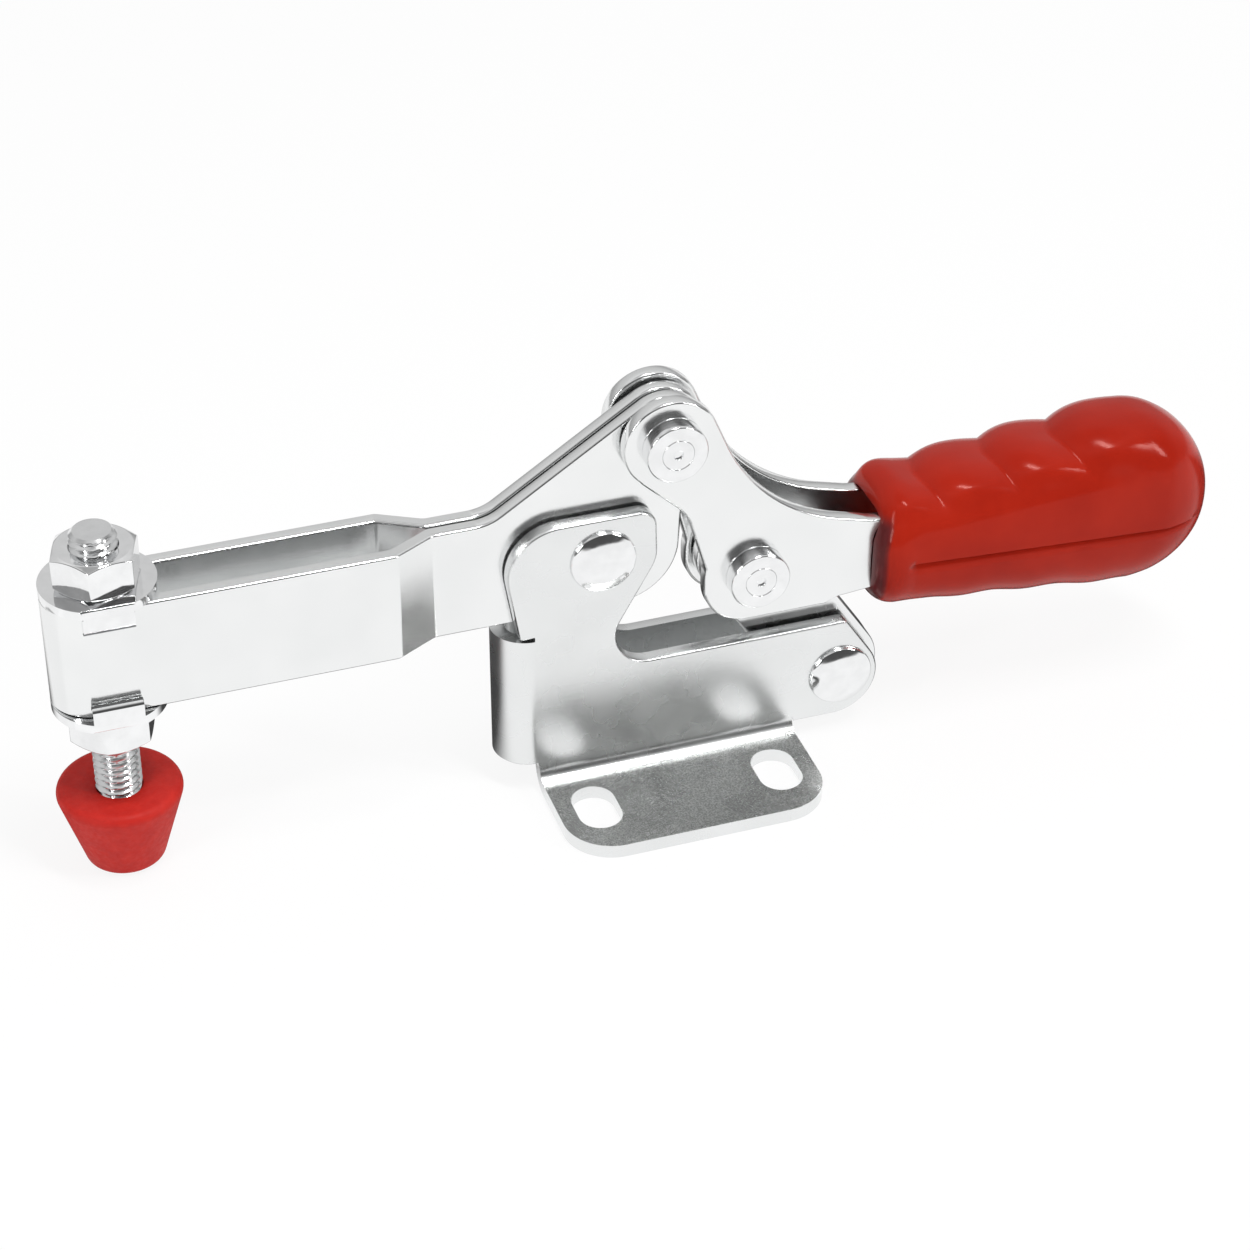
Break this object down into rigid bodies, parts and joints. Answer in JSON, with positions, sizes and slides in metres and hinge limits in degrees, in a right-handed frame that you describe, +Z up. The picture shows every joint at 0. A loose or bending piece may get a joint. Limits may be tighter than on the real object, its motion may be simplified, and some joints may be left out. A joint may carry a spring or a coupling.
{
  "type": "toggle clamp",
  "caption": "Horizontal toggle clamp: slotted arm with a rubber-capped threaded spindle, over-centre linkage, flanged base with slots and a moulded red grip.",
  "frame": {"origin": "on the mounting face, in the middle of the four mounting slots", "axes": "+Z up from the mounting face, +X towards the handle, Y across; the mid plane of the clamp is Y = 0"},
  "size_m": [0.1582, 0.0426, 0.0563],
  "materials": {
    "plated_sheet": "bright zinc plate, satin grain",
    "bright_rivet": "bright zinc plate",
    "threaded_steel": "bright zinc plate",
    "bright_nut": "mirror-bright plate",
    "red_vinyl": "glossy moulded vinyl",
    "red_rubber": "matte moulded rubber"
  },
  "bodies": {
    "mounting_base": {"base": "plated_sheet", "arm_pivot_rivet": "bright_rivet", "link_base_rivet": "bright_rivet"},
    "arm_body": {"arm": "plated_sheet"},
    "handle_body": {"handle_plate_left": "plated_sheet", "handle_plate_right": "plated_sheet", "grip": "red_vinyl", "arm_handle_pin": "bright_rivet", "handle_link_pin": "bright_rivet", "arm_handle_collar_left": "bright_rivet", "arm_handle_collar_right": "bright_rivet", "handle_link_collar_left": "bright_rivet", "handle_link_collar_right": "bright_rivet"},
    "link_body": {"link_plate_left": "plated_sheet", "link_plate_right": "plated_sheet"},
    "spindle_carriage": {"upper_flanged_washer": "bright_nut", "lower_flanged_washer": "bright_nut", "upper_nut": "bright_nut", "lower_nut": "bright_nut"},
    "spindle_body": {"spindle": "threaded_steel", "spindle_cap": "red_rubber"}
  },
  "joints": [
    {"name": "arm_hinge", "type": "hinge", "parent": "mounting_base", "child": "arm_body", "pos_m": [-0.0088, 0, 0.0346], "axis": [0, 1, 0], "range_deg": [0, 70]},
    {"name": "handle_hinge", "type": "hinge", "parent": "arm_body", "child": "handle_body", "pos_m": [0.0003, 0, 0.05], "axis": [0, 1, 0], "range_deg": [-118.2, 0]},
    {"name": "link_hinge", "type": "hinge", "parent": "mounting_base", "child": "link_body", "pos_m": [0.0244, 0, 0.0092], "axis": [0, 1, 0], "range_deg": [0, 67.3]},
    {"name": "spindle_position", "type": "slide", "parent": "arm_body", "child": "spindle_carriage", "axis": [1, 0, 0], "range_m": [-0.0019, 0.03]},
    {"name": "spindle_height", "type": "slide", "parent": "spindle_carriage", "child": "spindle_body", "axis": [0, 0, 1], "range_m": [-0.0015, 0.0075]}
  ],
  "couplings": [
    {"joint": "handle_hinge", "follows": "arm_hinge", "ratio": -1.688},
    {"joint": "link_hinge", "follows": "arm_hinge", "ratio": 0.96}
  ]
}
